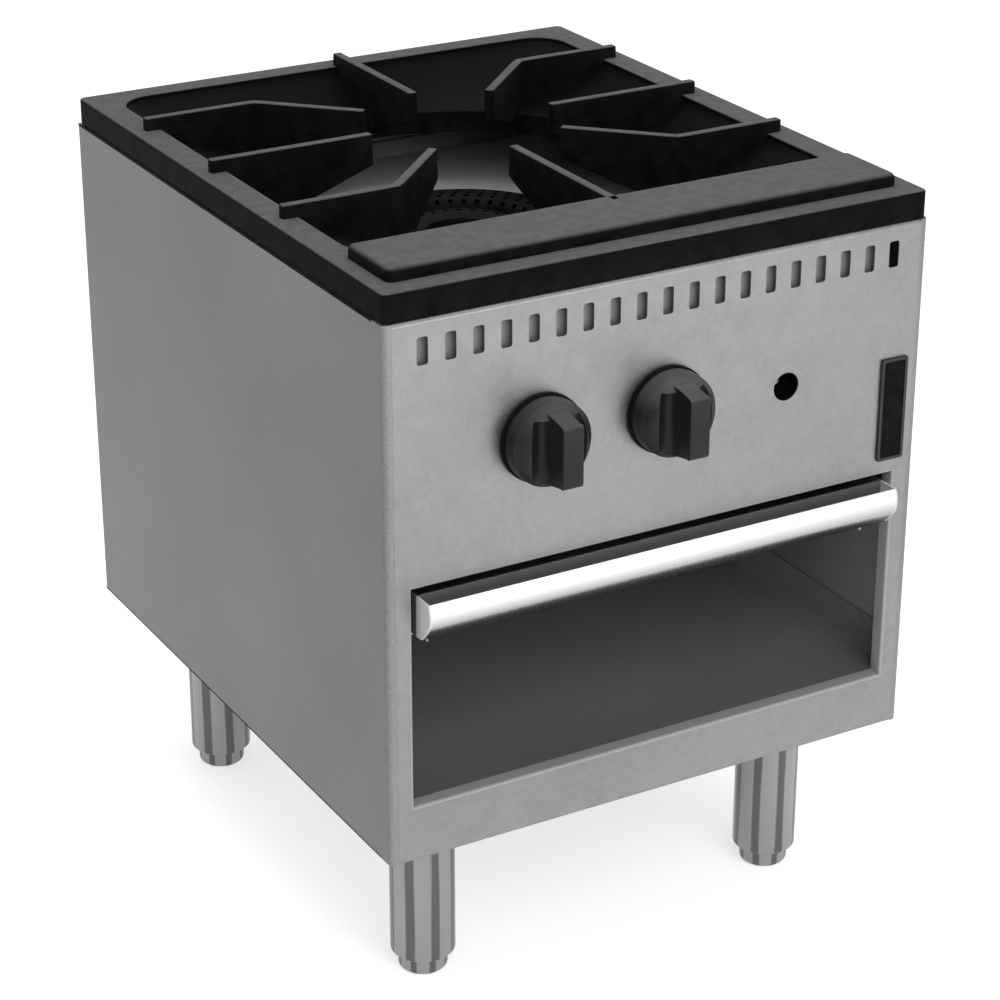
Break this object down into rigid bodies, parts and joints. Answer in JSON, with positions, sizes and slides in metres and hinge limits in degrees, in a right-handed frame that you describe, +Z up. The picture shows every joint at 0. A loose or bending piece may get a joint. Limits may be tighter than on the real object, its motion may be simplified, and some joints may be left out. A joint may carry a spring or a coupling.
{
  "type": "stock pot range",
  "caption": "Low free-standing gas range on legs: cast top grate with bent fingers over a ring burner, gas knobs, pull-out drip tray and an open storage bay.",
  "frame": {"origin": "on the floor under the centre of the range's bounding box", "axes": "+X to the right seen from the front, -Y out of the front, +Z up"},
  "size_m": [0.457, 0.622, 0.6027],
  "materials": {
    "stainless": "satin stainless steel sheet with a faint cloudy grain",
    "polished_stainless": "bright stainless steel",
    "inner_sheet": "dull aluminised steel sheet",
    "steel_bar": "black iron pipe and bar",
    "burner_iron": "raw sand-cast iron",
    "grate_iron": "black matt cast iron",
    "brass": "machined brass",
    "black_plastic": "moulded phenolic, satin",
    "badge_black": "smooth black plate with a pale border",
    "leg_metal": "nickel-plated steel, slightly dulled",
    "zinc_plate": "zinc-plated steel"
  },
  "bodies": {
    "cabinet": {"side_panel_left": "stainless", "side_panel_right": "stainless", "front_panel": "stainless", "rear_panel": "stainless", "bottom_shelf": "inner_sheet", "base_channel_left": "inner_sheet", "base_channel_right": "inner_sheet", "tray_runner_left": "inner_sheet", "tray_runner_right": "inner_sheet", "burner_deck": "inner_sheet", "deck_rail_left": "inner_sheet", "deck_rail_right": "inner_sheet", "burner_support_front": "steel_bar", "burner_support_rear": "steel_bar", "manifold_pipe": "steel_bar", "supply_elbow": "steel_bar", "supply_pipe": "steel_bar", "outer_burner_ring": "burner_iron", "inner_burner_head": "burner_iron", "outer_mixing_tube": "burner_iron", "inner_mixing_tube": "burner_iron", "orifice_hood_left": "brass", "orifice_hood_right": "brass", "gas_valve_left": "brass", "gas_valve_right": "brass", "pilot_valve": "brass", "badge_plate": "badge_black", "leg_front_left": "leg_metal", "leg_front_right": "leg_metal", "leg_rear_left": "leg_metal", "leg_rear_right": "leg_metal", "manifold_bracket_left": "zinc_plate", "manifold_bracket_right": "zinc_plate", "pilot_burner": "zinc_plate", "pilot_tube": "zinc_plate", "leg_socket_front_left": "zinc_plate", "leg_socket_front_right": "zinc_plate", "leg_socket_rear_left": "zinc_plate", "leg_socket_rear_right": "zinc_plate", "rear_screw_left_1": "zinc_plate", "rear_screw_left_2": "zinc_plate", "rear_screw_left_3": "zinc_plate", "rear_screw_right_1": "zinc_plate", "rear_screw_right_2": "zinc_plate", "rear_screw_right_3": "zinc_plate"},
    "grate": {"top_grate": "grate_iron"},
    "tray": {"drip_tray": "polished_stainless"},
    "knob_left": {"knob_left": "black_plastic", "valve_stem_left": "brass"},
    "knob_right": {"knob_right": "black_plastic", "valve_stem_right": "brass"},
    "shutter_left": {"air_shutter_left": "zinc_plate"},
    "shutter_right": {"air_shutter_right": "zinc_plate"},
    "pilot_screw": {"pilot_screw": "brass"},
    "foot_front_left": {"foot_front_left": "leg_metal"},
    "foot_front_right": {"foot_front_right": "leg_metal"},
    "foot_rear_left": {"foot_rear_left": "leg_metal"},
    "foot_rear_right": {"foot_rear_right": "leg_metal"}
  },
  "joints": [
    {"name": "grate_lift", "type": "slide", "parent": "cabinet", "child": "grate", "axis": [0, 0, 1], "range_m": [0, 0.12]},
    {"name": "tray_slide", "type": "slide", "parent": "cabinet", "child": "tray", "axis": [0, -1, 0], "range_m": [0, 0.45]},
    {"name": "knob_left_turn", "type": "hinge", "parent": "cabinet", "child": "knob_left", "pos_m": [-0.1045, -0.3, 0.4655], "axis": [0, -1, 0], "range_deg": [0, 90]},
    {"name": "knob_right_turn", "type": "hinge", "parent": "cabinet", "child": "knob_right", "pos_m": [0, -0.3, 0.4655], "axis": [0, -1, 0], "range_deg": [0, 90]},
    {"name": "shutter_left_turn", "type": "hinge", "parent": "cabinet", "child": "shutter_left", "pos_m": [-0.1045, -0.188, 0.4655], "axis": [0, 1, 0], "range_deg": [0, 60]},
    {"name": "shutter_right_turn", "type": "hinge", "parent": "cabinet", "child": "shutter_right", "pos_m": [0, -0.188, 0.4655], "axis": [0, 1, 0], "range_deg": [0, 60]},
    {"name": "pilot_screw_turn", "type": "hinge", "parent": "cabinet", "child": "pilot_screw", "pos_m": [0.1055, -0.245, 0.461], "axis": [0, -1, 0], "range_deg": [0, 270]},
    {"name": "foot_front_left_height", "type": "slide", "parent": "cabinet", "child": "foot_front_left", "axis": [0, 0, -1], "range_m": [0, 0.025]},
    {"name": "foot_front_right_height", "type": "slide", "parent": "cabinet", "child": "foot_front_right", "axis": [0, 0, -1], "range_m": [0, 0.025]},
    {"name": "foot_rear_left_height", "type": "slide", "parent": "cabinet", "child": "foot_rear_left", "axis": [0, 0, -1], "range_m": [0, 0.025]},
    {"name": "foot_rear_right_height", "type": "slide", "parent": "cabinet", "child": "foot_rear_right", "axis": [0, 0, -1], "range_m": [0, 0.025]}
  ]
}
